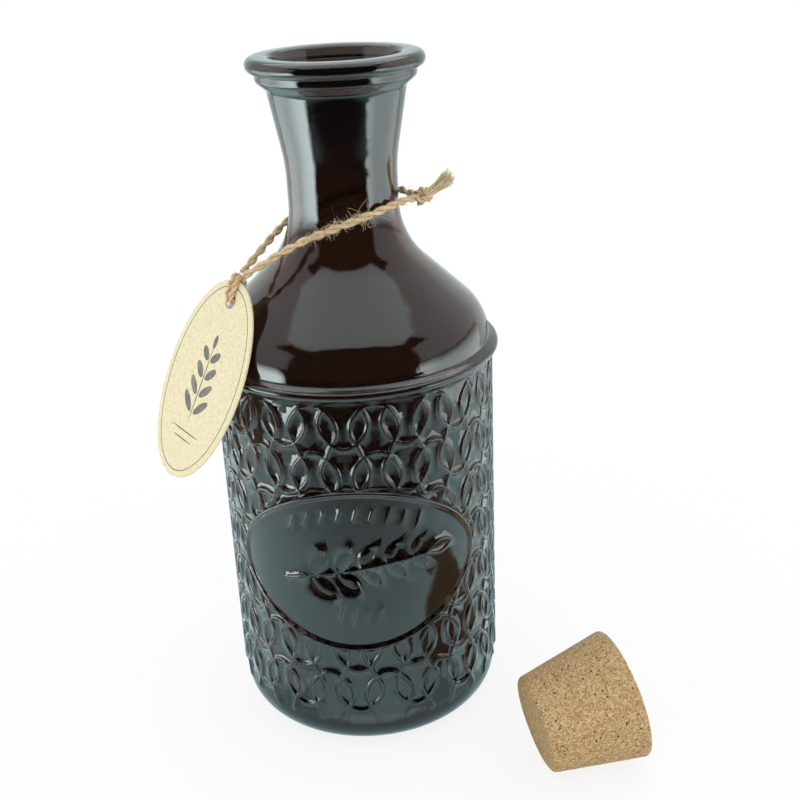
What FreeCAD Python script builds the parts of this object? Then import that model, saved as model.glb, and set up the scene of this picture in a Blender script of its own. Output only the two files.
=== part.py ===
import FreeCAD, Part
import math
import os

from FreeCAD import Vector

# Moulded glass carafe bottle with a tapered cork, a twine loop round its neck and an oval swing tag.
# Millimetres. Z is the bottle's axis, z = 0 is the table, the front panel faces about -Y.

# Bottle body
BODY_R = 49.4
WALL = 3.6
HEEL_R = 12.0
BASE_THICK = 7.0
BEARING_W = 6.0
PUNT_RISE = 4.5
INNER_HEEL_R = 9.0

# Ledge where the shoulder starts
LEDGE_H = 5.0
LEDGE_UNDER_H = 2.8
LEDGE_PROUD = 3.0
LEDGE_EDGE_R = 1.3

# Shoulder and neck
SHOULDER_STEP_H = 1.2
SHOULDER_SET_IN = 0.4
SHOULDER_LEN = 49.2
SHOULDER_ARC_R = 18.5
NECK_ARC_R = 29.6
NECK_R = 19.0
NECK_TOP_LEN = 49.6
THROAT_LEN = 8.5
FLARE_ARC_R = 60.0

# Rim
BOTTLE_H = 244.6
RIM_R = 29.9
RIM_TUBE_R = 2.6
COLLAR_R = 27.0
COLLAR_H = 2.6
COLLAR_TAPER_H = 3.0

# Raised oval panel on the front
PANEL_TURN = math.radians(-4.0)
PANEL_HALF_W = 40.0
PANEL_HALF_H = 32.2
PANEL_LEVEL = 0.55
PANEL_RISE = 0.9
PANEL_ROOT = 1.0

# Raised lattice of pointed oval rings, leaning left and right by turns
LATTICE_COLUMNS = 30
LATTICE_ROWS = 7
LATTICE_START = math.radians(4.3)
LATTICE_LOW_Z = 20.2
LATTICE_TOP_GAP = 1.4
RING_TALL = 12.6
RING_HALF_W = 2.9
RING_LEAN = 1.0
RIB_W = 1.6
RIB_RISE = 0.8
RIB_ROOT = 0.6
RING_POINT = 0.5

# Cork, and where it lies on the table
CORK_LARGE_R = 23.5
CORK_SMALL_R = 17.3
CORK_LEN = 34.4
CORK_EDGE = 0.9
CORK_PROUD = 10.0
CORK_SEAT_GAP = 0.2
CORK_X = 56.6
CORK_Y = -63.0
CORK_HEADING = math.radians(12.1)

# Swing tag, leaning on the ledge
TAG_HALF_LEN = 35.8
TAG_HALF_W = 22.4
TAG_THICK = 0.8
TAG_HOLE_R = 2.8
TAG_HOLE_INSET = 7.2
TAG_AZIMUTH = math.radians(-53.1)
TAG_LEAN = math.radians(26.4)
TAG_ROLL = math.radians(4.6)
TAG_HOLE_UP = 25.0
TAG_HOLE_ALONG = -11.3
TAG_LEDGE_GAP = 0.3

# Twine
TWINE_D = 2.8
HITCH_D = 2.2
HITCH_GAP = 0.12
HITCH_OVERLAP = 0.3
KNOT_LEN = 7.0
KNOT_R = 3.4
KNOT_END_R = 2.0
TASSEL_LEN = 9.0
TASSEL_TIP_R = 2.7

# Points of the two strands, with heights from the throat, and their starts from the hitch at the tag
FRONT_START = (2.4, -1.5, 2.2)
FRONT_ROUTE = [
    (-17.4, -18.9, -9.0),
    (-2.6, -22.6, -3.4),
    (10.6, -19.6, 0.2),
    (18.9, -10.4, 1.2),
    (24.6, -3.0, 0.4),
]
BACK_START = (1.7, 2.0, 2.4)
BACK_ROUTE = [
    (-28.6, -1.2, -14.0),
    (-19.8, 11.8, -8.0),
    (-10.2, 20.2, -4.6),
    (2.2, 22.4, -1.8),
    (13.6, 18.2, 0.2),
    (20.5, 9.4, 1.2),
    (24.6, 0.0, 0.6),
]
BEND_SHARE = 0.45
KNOT_AT = (27.3, -1.5, 0.4)
KNOT_AXIS = (0.93, 0.0, 0.37)
TASSEL_AXIS = (0.8, -0.1, 0.6)

X_AXIS = Vector(1, 0, 0)
Y_AXIS = Vector(0, 1, 0)
Z_AXIS = Vector(0, 0, 1)
ORIGIN = Vector(0, 0, 0)
FULL_TURN = 360.0
QUARTER_TURN = 90.0
SAME_POINT = 1e-7

# Heights from the top down, and the ledge and shoulder from the body
throat_low_z = BOTTLE_H - NECK_TOP_LEN
shoulder_z = throat_low_z - SHOULDER_LEN
ledge_top_z = shoulder_z - SHOULDER_STEP_H
ledge_z = ledge_top_z - LEDGE_H
panel_z = ledge_z * PANEL_LEVEL
row_pitch = (ledge_z - LATTICE_TOP_GAP - LATTICE_LOW_Z - RING_TALL) / (LATTICE_ROWS - 1)
ledge_r = BODY_R + LEDGE_PROUD
shoulder_r = BODY_R - SHOULDER_SET_IN
cork_slope = (CORK_LARGE_R - CORK_SMALL_R) / CORK_LEN
flare = math.atan(cork_slope)


def on_outline(r, z):
    """A point of a turned outline, drawn in the XZ plane."""
    return Vector(r, 0, z)


def arc_about(r, z, radius, start, end):
    """Arc round the point r, z, with its angles measured from the +X side."""
    middle = (start + end) / 2
    points = []
    for angle in (start, middle, end):
        points.append(on_outline(r + radius * math.cos(angle), z + radius * math.sin(angle)))
    return Part.Arc(*points).toShape()


def closed_outline(pieces):
    """Join points and arcs, given in order, into one closed wire."""
    edges = []
    last = None
    first = None
    for piece in pieces:
        if isinstance(piece, Vector):
            start = piece
            end = piece
        else:
            start = piece.firstVertex(True).Point
            end = piece.lastVertex(True).Point
        if last is None:
            first = start
        elif last.distanceToPoint(start) > SAME_POINT:
            edges.append(Part.LineSegment(last, start).toShape())
        if not isinstance(piece, Vector):
            edges.append(piece)
        last = end
    edges.append(Part.LineSegment(last, first).toShape())
    return Part.Wire(edges)


def turned(pieces):
    """Solid turned about Z from a closed outline."""
    face = Part.Face(closed_outline(pieces))
    return face.revolve(ORIGIN, Z_AXIS, FULL_TURN)


def shoulder_and_neck(offset):
    """Dome, cone and neck of the outside, or of the inside when the wall is the offset."""
    dome_r = shoulder_r - SHOULDER_ARC_R
    neck_r = NECK_R + NECK_ARC_R
    reach_r = neck_r - dome_r
    reach_z = throat_low_z - shoulder_z
    # The cone between the two arcs is their common tangent
    apart = math.acos((SHOULDER_ARC_R + NECK_ARC_R) / math.hypot(reach_r, reach_z))
    turn = math.atan2(reach_z, reach_r) - apart
    dome = arc_about(dome_r, shoulder_z, SHOULDER_ARC_R - offset, 0, turn)
    neck = arc_about(neck_r, throat_low_z, NECK_ARC_R + offset, math.pi + turn, math.pi)
    return [dome, neck]


def bottle_inside():
    """Outline of the hollow: floor, body, shoulder, throat and the cork's seat."""
    mouth_r = CORK_LARGE_R - CORK_PROUD * cork_slope + CORK_SEAT_GAP
    throat_r = NECK_R - WALL
    throat_top = throat_low_z + THROAT_LEN
    body_r = BODY_R - WALL
    above = CORK_PROUD
    seat_top_r = mouth_r + above * cork_slope
    bend_r = FLARE_ARC_R - WALL
    bend = arc_about(throat_r + bend_r, throat_top, bend_r, math.pi, math.pi - flare)
    bend_end = bend.lastVertex(True).Point
    cone_r_here = mouth_r - (BOTTLE_H - bend_end.z) * cork_slope
    rise = (bend_end.x - cone_r_here) / cork_slope
    seat_low = on_outline(bend_end.x, bend_end.z + rise)
    heel = arc_about(body_r - INNER_HEEL_R, BASE_THICK + INNER_HEEL_R, INNER_HEEL_R, -math.pi / 2, 0)
    outline = [on_outline(0, BASE_THICK), heel]
    outline += shoulder_and_neck(WALL)
    outline += [bend, seat_low, on_outline(seat_top_r, BOTTLE_H + above), on_outline(0, BOTTLE_H + above)]
    return outline


def bottle_outside():
    """Outline of the outside: foot, heel, ledge, shoulder, neck, collar and rim."""
    foot_out = BODY_R - HEEL_R
    foot_in = foot_out - BEARING_W
    punt_r = (foot_in ** 2 + PUNT_RISE ** 2) / (2 * PUNT_RISE)
    punt_low = PUNT_RISE - punt_r
    punt = arc_about(0, punt_low, punt_r, math.pi / 2, math.atan2(-punt_low, foot_in))
    heel = arc_about(BODY_R - HEEL_R, HEEL_R, HEEL_R, -math.pi / 2, 0)
    under_end = on_outline(ledge_r, ledge_z + LEDGE_UNDER_H)
    ledge_in = ledge_r - LEDGE_EDGE_R
    ledge_edge = arc_about(ledge_in, ledge_top_z - LEDGE_EDGE_R, LEDGE_EDGE_R, 0, math.pi / 2)
    throat_top = throat_low_z + THROAT_LEN
    bend = arc_about(NECK_R + FLARE_ARC_R, throat_top, FLARE_ARC_R, math.pi, math.pi - flare)
    bend_end = bend.lastVertex(True).Point
    rim_z = BOTTLE_H - RIM_TUBE_R
    collar_top = rim_z - RIM_TUBE_R
    collar_low = collar_top - COLLAR_H
    taper_low = collar_low - COLLAR_TAPER_H
    neck_top_r = bend_end.x + (taper_low - bend_end.z) * cork_slope
    rim = arc_about(RIM_R - RIM_TUBE_R, rim_z, RIM_TUBE_R, -math.pi / 2, math.pi / 2)
    outline = [punt, heel, on_outline(BODY_R, ledge_z), under_end, ledge_edge]
    outline += [on_outline(shoulder_r, shoulder_z)] + shoulder_and_neck(0.0)
    outline += [bend, on_outline(neck_top_r, taper_low), on_outline(COLLAR_R, collar_low)]
    outline += [on_outline(COLLAR_R, collar_top), rim, on_outline(0, BOTTLE_H)]
    return outline


def front_panel():
    """Raised oval pad that follows the body's curve."""
    ellipse = Part.Ellipse(ORIGIN, PANEL_HALF_W, PANEL_HALF_H)
    oval = Part.Face(Part.Wire(ellipse.toShape()))
    oval.rotate(ORIGIN, X_AXIS, QUARTER_TURN)
    oval.translate(Vector(0, 0, panel_z))
    prism = oval.extrude(Vector(0, -2 * BODY_R, 0))
    low = panel_z - PANEL_HALF_H
    tall = 2 * PANEL_HALF_H
    outer = Part.makeCylinder(BODY_R + PANEL_RISE, tall, Vector(0, 0, low))
    inner = Part.makeCylinder(BODY_R - PANEL_ROOT, tall, Vector(0, 0, low))
    pad = prism.common(outer.cut(inner))
    pad.rotate(ORIGIN, Z_AXIS, math.degrees(PANEL_TURN))
    return pad


def pointed_oval(low_z, lean, grow):
    """Outline of two arcs that meet in points, on the front of the body, grown or drawn in."""
    depth = RIB_ROOT - BODY_R
    point = grow / RING_POINT
    top_z = low_z + RING_TALL
    low = Vector(-lean, depth, low_z - point)
    top = Vector(lean, depth, top_z + point)
    middle = (low_z + top_z) / 2
    side = RING_HALF_W + grow
    right = Part.Arc(low, Vector(side, depth, middle), top).toShape()
    left = Part.Arc(top, Vector(-side, depth, middle), low).toShape()
    return Part.Wire([right, left])


def inside_panel(angle, z):
    """Whether a place on the body lies within the panel's outline."""
    if math.cos(angle) < 0:
        return False
    across = BODY_R * math.sin(angle) / PANEL_HALF_W
    return across ** 2 + ((z - panel_z) / PANEL_HALF_H) ** 2 < 1


def lattice_rings():
    """Raised rings all round the body, without those that the panel covers."""
    pitch = 2 * math.pi / LATTICE_COLUMNS
    rings = []
    for row in range(LATTICE_ROWS):
        low_z = LATTICE_LOW_Z + row * row_pitch
        for column in range(LATTICE_COLUMNS):
            angle = LATTICE_START + column * pitch
            lean = RING_LEAN if column % 2 == 0 else -RING_LEAN
            if inside_panel(angle, low_z) and inside_panel(angle, low_z + RING_TALL):
                continue
            outer = Part.Face(pointed_oval(low_z, lean, RIB_W / 2))
            ring = outer.cut(Part.Face(pointed_oval(low_z, lean, -RIB_W / 2)))
            rib = ring.extrude(Vector(0, -RIB_ROOT - RIB_RISE, 0))
            rib.rotate(ORIGIN, Z_AXIS, math.degrees(angle + PANEL_TURN))
            rings.append(rib.Solids[0])
    return rings


def glass_bottle():
    """One moulded piece: turned outside with its panel and lattice, less the turned hollow."""
    outside = turned(bottle_outside())
    hollow = turned(bottle_inside())
    bottle = outside.fuse([front_panel()] + lattice_rings()).cut(hollow)
    return bottle.removeSplitter()


def cork_stopper():
    """Tapered cork, lying on its side on the table."""
    edge_in = CORK_EDGE
    outline = [
        on_outline(0, 0),
        on_outline(CORK_SMALL_R - edge_in, 0),
        on_outline(CORK_SMALL_R + edge_in * cork_slope, edge_in),
        on_outline(CORK_LARGE_R - edge_in * cork_slope, CORK_LEN - edge_in),
        on_outline(CORK_LARGE_R - edge_in, CORK_LEN),
        on_outline(0, CORK_LEN),
    ]
    cork = turned(outline)
    cork.rotate(ORIGIN, Y_AXIS, QUARTER_TURN - math.degrees(flare))
    cork.rotate(ORIGIN, Z_AXIS, math.degrees(CORK_HEADING))
    cork.translate(Vector(CORK_X, CORK_Y, CORK_SMALL_R * math.cos(flare)))
    return cork


def tag_frame():
    """The tag's hole, and its directions: down the card, along it and out of its front."""
    out = Vector(math.sin(TAG_AZIMUTH), -math.cos(TAG_AZIMUTH), 0)
    along = Vector(math.cos(TAG_AZIMUTH), math.sin(TAG_AZIMUTH), 0)
    front = out * math.cos(TAG_LEAN) + Z_AXIS * math.sin(TAG_LEAN)
    fall = out * math.sin(TAG_LEAN) - Z_AXIS * math.cos(TAG_LEAN)
    touch = out * (ledge_r - LEDGE_EDGE_R) + Z_AXIS * (ledge_top_z - LEDGE_EDGE_R)
    touch += front * (LEDGE_EDGE_R + TAG_LEDGE_GAP + TAG_THICK / 2)
    hole = touch - fall * TAG_HOLE_UP + along * TAG_HOLE_ALONG
    down = fall * math.cos(TAG_ROLL) - along * math.sin(TAG_ROLL)
    side = along * math.cos(TAG_ROLL) + fall * math.sin(TAG_ROLL)
    return hole, down, side, front


def placed(shape, at, x_dir, y_dir, z_dir):
    """Move a shape from the XYZ axes to a place with the given directions."""
    matrix = FreeCAD.Matrix(
        x_dir.x, y_dir.x, z_dir.x, at.x,
        x_dir.y, y_dir.y, z_dir.y, at.y,
        x_dir.z, y_dir.z, z_dir.z, at.z,
        0, 0, 0, 1,
    )
    shape.Placement = FreeCAD.Placement(matrix)
    return shape


def swing_tag():
    """Oval card with a plain punched hole."""
    middle = Vector(TAG_HALF_LEN - TAG_HOLE_INSET, 0, -TAG_THICK / 2)
    ellipse = Part.Ellipse(middle, TAG_HALF_LEN, TAG_HALF_W)
    card = Part.Face(Part.Wire(ellipse.toShape())).extrude(Vector(0, 0, TAG_THICK))
    card = card.cut(Part.makeCylinder(TAG_HOLE_R, 2 * TAG_THICK, Vector(0, 0, -TAG_THICK)))
    return card


def tag_hitch():
    """Two tight loops of twine through the hole and over the card's top edge."""
    bend = TAG_THICK / 2 + HITCH_GAP + HITCH_D / 2
    low = Vector(-bend, 0, 0)
    top = Vector(-TAG_HOLE_INSET, 0, 0)
    loop = Part.Wire([
        Part.LineSegment(low + Vector(0, 0, bend), top + Vector(0, 0, bend)).toShape(),
        Part.Arc(top + Vector(0, 0, bend), top - Vector(bend, 0, 0), top - Vector(0, 0, bend)).toShape(),
        Part.LineSegment(top - Vector(0, 0, bend), low - Vector(0, 0, bend)).toShape(),
        Part.Arc(low - Vector(0, 0, bend), low + Vector(bend, 0, 0), low + Vector(0, 0, bend)).toShape(),
    ])
    shift = (HITCH_D - HITCH_OVERLAP) / 2
    hitch = None
    for side in (-shift, shift):
        start = loop.Vertexes[0].Point
        section = Part.Wire(Part.Circle(start, X_AXIS, HITCH_D / 2).toShape())
        tube = loop.makePipeShell([section], True, True)
        tube.translate(Vector(0, side, 0))
        hitch = tube if hitch is None else hitch.fuse(tube)
    return hitch


def by_throat(point):
    """A point whose height is measured from the low end of the throat."""
    return Vector(*point) + Z_AXIS * throat_low_z


def strand(hitch_at, start, route, name):
    """Tube along straight runs with one tangent arc at each point of the route."""
    points = [hitch_at + Vector(*start)] + [by_throat(p) for p in route]
    edges = []
    last = points[0]
    radii = []
    for before, here, after in zip(points, points[1:], points[2:]):
        back = (before - here).normalize()
        ahead = (after - here).normalize()
        half_turn = (math.pi - back.getAngle(ahead)) / 2
        cut = BEND_SHARE * min(before.distanceToPoint(here), here.distanceToPoint(after))
        radius = cut / math.tan(half_turn)
        radii.append(round(radius, 1))
        start = here + back * cut
        end = here + ahead * cut
        inward = (back + ahead).normalize()
        middle = here + inward * (radius / math.cos(half_turn) - radius)
        edges.append(Part.LineSegment(last, start).toShape())
        edges.append(Part.Arc(start, middle, end).toShape())
        last = end
    edges.append(Part.LineSegment(last, points[-1]).toShape())
    path = Part.Wire(edges)
    section = Part.Wire(Part.Circle(points[0], points[1] - points[0], TWINE_D / 2).toShape())
    tube = path.makePipeShell([section], True, True)
    ideal = math.pi * TWINE_D ** 2 / 4 * path.Length
    print(name, "start", points[0], "radii", radii)
    print(name, "length", round(path.Length, 1), "volume ratio", round(tube.Volume / ideal, 4))
    return tube


def twine_knot():
    """Barrel-shaped overhand knot."""
    half = KNOT_LEN / 2
    belly = Part.Arc(on_outline(KNOT_END_R, -half), on_outline(KNOT_R, 0), on_outline(KNOT_END_R, half))
    knot = turned([on_outline(0, -half), belly.toShape(), on_outline(0, half)])
    return along_axis(knot, by_throat(KNOT_AT), Vector(*KNOT_AXIS))


def twine_tassel():
    """Frayed end beyond the knot, widening to its tip."""
    tassel = Part.makeCone(KNOT_END_R, TASSEL_TIP_R, TASSEL_LEN)
    axis = Vector(*KNOT_AXIS).normalize()
    start = by_throat(KNOT_AT) + axis * (KNOT_LEN - KNOT_END_R) / 2
    return along_axis(tassel, start, Vector(*TASSEL_AXIS))


def along_axis(shape, at, axis):
    """Turn a shape made along Z to another axis and move it there."""
    shape.Placement = FreeCAD.Placement(at, FreeCAD.Rotation(Z_AXIS, axis))
    return shape


def save(name, shape):
    """Write one closed solid under its node's name."""
    if shape.ShapeType == "Compound" and len(shape.Solids) == 1:
        shape = shape.Solids[0]
    assert shape.isValid() and len(shape.Solids) == 1, name
    shape.exportStep("parts/" + name + ".step")
    print(name, "volume cm3", round(shape.Volume / 1000, 3), "box", shape.BoundBox)


os.makedirs("parts", exist_ok=True)
tag_at = tag_frame()
hitch_at = tag_at[0] - tag_at[1] * TAG_HOLE_INSET
save("glass_bottle", glass_bottle())
save("cork_stopper", cork_stopper())
save("swing_tag", placed(swing_tag(), *tag_at))
save("tag_hitch", placed(tag_hitch(), *tag_at))
save("twine_front_strand", strand(hitch_at, FRONT_START, FRONT_ROUTE, "front strand"))
save("twine_back_strand", strand(hitch_at, BACK_START, BACK_ROUTE, "back strand"))
save("twine_knot", twine_knot())
save("twine_tassel", twine_tassel())
print("tag pivot", hitch_at, "tag side", tag_at[2])
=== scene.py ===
import math
import random

import bmesh
import bpy
from mathutils import Matrix, Vector, kdtree, noise
from mathutils.geometry import delaunay_2d_cdt


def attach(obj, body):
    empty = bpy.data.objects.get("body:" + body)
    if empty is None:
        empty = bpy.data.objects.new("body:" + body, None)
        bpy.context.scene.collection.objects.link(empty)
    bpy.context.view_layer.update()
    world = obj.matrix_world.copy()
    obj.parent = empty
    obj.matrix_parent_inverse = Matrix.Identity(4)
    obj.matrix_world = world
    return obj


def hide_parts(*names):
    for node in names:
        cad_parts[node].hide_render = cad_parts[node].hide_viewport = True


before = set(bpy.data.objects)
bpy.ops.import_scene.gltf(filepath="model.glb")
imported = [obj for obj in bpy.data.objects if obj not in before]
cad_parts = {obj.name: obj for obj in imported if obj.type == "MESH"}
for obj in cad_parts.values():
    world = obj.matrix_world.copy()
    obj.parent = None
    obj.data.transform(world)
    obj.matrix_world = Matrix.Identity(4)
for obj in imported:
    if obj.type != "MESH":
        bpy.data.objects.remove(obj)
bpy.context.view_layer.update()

MM = 0.001
FULL_TURN = 2 * math.pi
scene = bpy.context.scene
chance = random.Random(11)

# Bottle sizes in millimetres, as in the part
BODY_R = 49.4
WALL = 3.6
HEEL_R = 12.0
BASE_THICK = 7.0
BEARING_W = 6.0
PUNT_RISE = 4.5
INNER_HEEL_R = 9.0
LEDGE_Z = 139.6
LEDGE_UNDER_H = 2.8
LEDGE_R = 52.4
LEDGE_EDGE_R = 1.3
LEDGE_TOP_Z = 144.6
SHOULDER_Z = 145.8
SHOULDER_R = 49.0
SHOULDER_ARC_R = 18.5
NECK_ARC_R = 29.6
NECK_R = 19.0
THROAT_LOW_Z = 195.0
THROAT_LEN = 8.5
FLARE_ARC_R = 60.0
BOTTLE_H = 244.6
RIM_R = 29.9
RIM_TUBE_R = 2.6
COLLAR_R = 27.0
COLLAR_H = 2.6
COLLAR_TAPER_H = 3.0
CORK_LARGE_R = 23.5
CORK_SMALL_R = 17.3
CORK_LEN = 34.4
CORK_PROUD = 10.0
CORK_SEAT_GAP = 0.2
CORK_AT = (56.6, -63.0)
CORK_HEADING = math.radians(12.1)
PANEL_TURN = math.radians(-4.0)
PANEL_HALF_W = 40.0
PANEL_HALF_H = 32.2
PANEL_Z = 76.78
PANEL_RISE = 0.9
PANEL_EDGE_W = 1.1
BORDER_RISE = 0.9
BORDER_W = 2.0
PANEL_EDGE_LOOPS = (0, 0.35, 0.7, PANEL_EDGE_W, 1.5, 2.0, 2.5, PANEL_EDGE_W + BORDER_W)
AROUND_STEPS = 180

# Easing of the outline's corners, and the cork's seat inside the mouth
LEDGE_ROOT_EASE = 0.09
LEDGE_UNDER_EASE = 0.8
SHOULDER_FOOT_EASE = 0.5
TAPER_EASE = 1.0
COLLAR_EASE = 0.9
RIM_ROOT_EASE = 0.35
RIM_ROOT_TURN = 0.25
MOUTH_EASE = 1.6
SEAT_LEN = 10
SEAT_FOOT_STEP = 0.4
SEAT_FOOT_UP = 8.0
CORK_EDGE_R = 1.7
CORK_WEAR = 0.05
CORK_ROUGH = 0.07
CORK_PIT_DEPTH = 1.1
CORK_PIT_LEVEL = 0.42

# Raised lattice of linked pointed ovals
LATTICE_COLUMNS = 30
LATTICE_ROWS = 7
LATTICE_START = math.radians(4.3)
ROW_PITCH = 17.57
ROW_LOW_Z = 20.2
OVAL_TALL = 12.6
OVAL_BULGE = 2.9
OVAL_LEAN = 1.0
BAR_ARCH = 1.8
LEG_FREE_Z = 14.4
LATTICE_LOW_Z = 12.4
LATTICE_TOP_Z = 139.5
RIB_HALF_W = 1.15
RIB_RISE = 1.0
RIB_STEP = 1.15
RIB_ROUND = 1.5
SEAM_STEP = 1.6
FIELD_STEP = 2.4
FIELD_RIB_GAP = 0.55
FIELD_PANEL_GAP = 1.2
RIB_PANEL_GAP = 0.25
OVERLAP_SHARE = 0.93
LOW_FADE = 2.0
TOP_FADE = 1.0
FINE_STEP = 0.16
SLOPE_REACH = 0.12

# Glass, darker in the thick neck
BODY_TINT = (0.088, 0.058, 0.046)
NECK_TINT = (0.045, 0.036, 0.032)
SHOULDER_TINT = (0.112, 0.062, 0.041)
BODY_TINT_Z = 0.135
NECK_TINT_Z = 0.225

# Leaf sprig in low relief on the panel
SPRIG_HALF_LEN = 25.0
SPRIG_RISE = 0.7
SPRIG_HALF_W = 1.0
SPRIG_PAIRS = 5
SPRIG_SLOPE = 0.16
LEAF_LEN = 13.0
LEAF_HALF_W = 2.9
LEAF_TURN = math.radians(50)
LEAF_FIRST = 0.16
LEAF_SPAN = 0.74
LEAF_FOOT_SIZE = 1.05
LEAF_SHRINK = 0.4
LEAF_TIP_SIZE = 0.8
STEM_BOW = 1.5
SEED_LEN = 3.2
SEED_SLANT = 0.3
# Seeds: how many, half their span, their height over the middle, and the arch
SEED_ARC = (9, 22.0, 17.0, 4.0)
SEED_ROW = (4, 6.5, -18.0, -0.6)

# Tag, as in the part
TAG_HALF_LEN = 35.8
TAG_HALF_W = 22.4
TAG_THICK = 0.8
TAG_HOLE_R = 2.8
TAG_HOLE_INSET = 7.2
TAG_AZIMUTH = math.radians(-53.1)
TAG_LEAN = math.radians(26.4)
TAG_ROLL = math.radians(4.6)
TAG_HOLE_UP = 25.0
TAG_HOLE_ALONG = -11.3
TAG_LEDGE_GAP = 0.3
PRINT_GAP = 0.006
PRINT_THICK = 0.012
PRINT_INSET = 2.2
PRINT_LINE_W = 0.35
PRINT_PAIRS = 4
PRINT_FIRST = 9.5
PRINT_STEP = 6.0
PRINT_ASIDE = 4.2
PRINT_LEAF_TURN = 0.75
PRINT_LEAF_HALF_LEN = 4.3
PRINT_LEAF_HALF_W = 1.5
PRINT_STROKE_HALF_W = 0.25
PRINT_STROKES = ((19.5, 9.0), (22.3, 6.0))

# Twine, with the routes of the part in metres
TWINE_D = 2.8
HITCH_D = 2.2
FRONT_ROUTE = [
    (-0.0349, -0.0161, 0.1752),
    (-0.0174, -0.0189, 0.1860),
    (-0.0026, -0.0226, 0.1916),
    (0.0106, -0.0196, 0.1952),
    (0.0189, -0.0104, 0.1962),
    (0.0246, -0.0030, 0.1954),
]
BACK_ROUTE = [
    (-0.0356, -0.0126, 0.1754),
    (-0.0286, -0.0012, 0.1810),
    (-0.0198, 0.0118, 0.1870),
    (-0.0102, 0.0202, 0.1904),
    (0.0022, 0.0224, 0.1932),
    (0.0136, 0.0182, 0.1952),
    (0.0205, 0.0094, 0.1962),
    (0.0246, 0.0000, 0.1956),
]
STRAND_STEP = 0.0007
STRAND_PITCH = 0.0115
KNOT_PITCH = 0.006
KNOT_TWINE_D = 2.5
KNOT_HALF_W = 2.2
KNOT_HALF_LEN = 1.9
HITCH_STEP = 0.0006
HITCH_PITCH = 0.0062
HITCH_GAP = 0.12
YARNS = 6
PLY_REACH = 0.24
YARN_REACH = 0.145
YARN_WANDER = 0.02
YARN_PITCH_SHARE = 0.8
YARN_R_SHARE = 0.108
HAIR_STEPS = 9
HAIR_CURL = 2.4
HAIR_REACH = 0.42
HAIR_R = 0.055
HITCH_HAIR_R = 0.06
FIBRE_R = 0.22
FIBRE_COUNT = 90
FIBRE_STEPS = 7
FIBRE_SHORT = 8.2
FIBRE_LONG = 11.2
FIBRE_FOOT = 1.6

# Loose fibres: how many, shortest, longest, and where they start and end along the twine
FRONT_HAIRS = ((150, 1.2, 3.4, 0.36, 0.66), (12, 5, 9, 0.45, 0.74), (80, 0.8, 2.2, 0.02, 0.98))
BACK_HAIRS = (90, 0.8, 2.4, 0.02, 0.98)
KNOT_HAIRS = (40, 1.0, 2.4, 0, 1)
HITCH_HAIRS = (26, 0.8, 2.0, 0, 1)
KNOT_AT = Vector((0.0273, -0.0015, 0.1954))
KNOT_AXIS = Vector((0.93, 0.0, 0.37)).normalized()
TASSEL_AXIS = Vector((0.8, -0.1, 0.6)).normalized()

# Camera, fitted to the photograph's outline
CAMERA_AT = Vector((0.0, -0.39935, 0.29133))
CAMERA_YAW = math.radians(2.33)
CAMERA_PITCH = math.radians(23.30)
CAMERA_ROLL = math.radians(-2.63)
CAMERA_LENS = 52.88
SENSOR_W = 36.0
FLOOR_WHITE_SHARE = 0.85

# Light tent: colours of its cloth, of the table and of the dark front
TENT_TINT = (0.87, 1.0, 1.01)
TABLE_TINT = (0.71, 1.0, 1.03)
DARK_TINT = (0.8, 0.9, 1.0)
DARK_GLOW = 0.012
WORLD_GLOW = 1.05
ROOM_HALF_W = 1.3
ROOM_END = 0.9
ROOF_Z = 1.2
ROOF_BACK = -0.25
TABLE_HALF_W = 0.34
TABLE_FRONT = -0.33
TABLE_CARD_Z = -0.0006
SHADE_HALF_W = 0.062
SHADE_GLOW = 0.9

# Table cards: where each starts and ends from front to back, and its brightness there
TABLE_CARDS = [
    ("table_glow", TABLE_FRONT, -0.11, 0.1, 1.75),
    ("table_middle", -0.11, 0.14, 1.75, 1.6),
    ("table_back", 0.14, 0.50, 1.6, 0.1),
]

# Side walls of the light tent: places along them and their brightness
WALL_X = 0.55
WALL_LOW = -0.7
WALL_FADE = 0.08
WALL_TOP = 0.22
LEFT_WALL = [(-0.40, 0.0), (-0.31, 12.0), (-0.15, 10.0), (0.05, 5.0), (0.50, 2.0)]
RIGHT_WALL = [(-0.50, 0.0), (-0.42, 7.0), (-0.20, 4.2), (0.40, 2.0)]


def set_camera():
    """Camera at the photograph's place, with its turn, tilt and roll."""
    ahead = Vector((
        math.sin(CAMERA_YAW) * math.cos(CAMERA_PITCH),
        math.cos(CAMERA_YAW) * math.cos(CAMERA_PITCH),
        -math.sin(CAMERA_PITCH),
    ))
    level = Vector((math.cos(CAMERA_YAW), -math.sin(CAMERA_YAW), 0))
    upward = level.cross(ahead)
    right = level * math.cos(CAMERA_ROLL) + upward * math.sin(CAMERA_ROLL)
    up = upward * math.cos(CAMERA_ROLL) - level * math.sin(CAMERA_ROLL)
    data = bpy.data.cameras.new("camera")
    data.lens = CAMERA_LENS
    data.sensor_width = SENSOR_W
    data.clip_start = 0.01
    camera = bpy.data.objects.new("camera", data)
    scene.collection.objects.link(camera)
    turn = Matrix((right, up, -ahead)).transposed().to_4x4()
    camera.matrix_world = Matrix.Translation(CAMERA_AT) @ turn
    scene.camera = camera


def add_piece(name, bm, material, body, smooth=True):
    """Turn a bmesh into a piece that rides on a body."""
    mesh = bpy.data.meshes.new(name)
    bm.to_mesh(mesh)
    bm.free()
    if smooth:
        mesh.shade_smooth()
    piece = bpy.data.objects.new(name, mesh)
    scene.collection.objects.link(piece)
    piece.data.materials.append(material)
    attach(piece, body)
    return piece


# Bottle outline, in millimetres from the axis and up

def arc_points(r, z, radius, start, end, steps):
    """Points of an arc round r, z, both ends included."""
    points = []
    for i in range(steps + 1):
        angle = start + (end - start) * i / steps
        points.append((r + radius * math.cos(angle), z + radius * math.sin(angle)))
    return points


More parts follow.
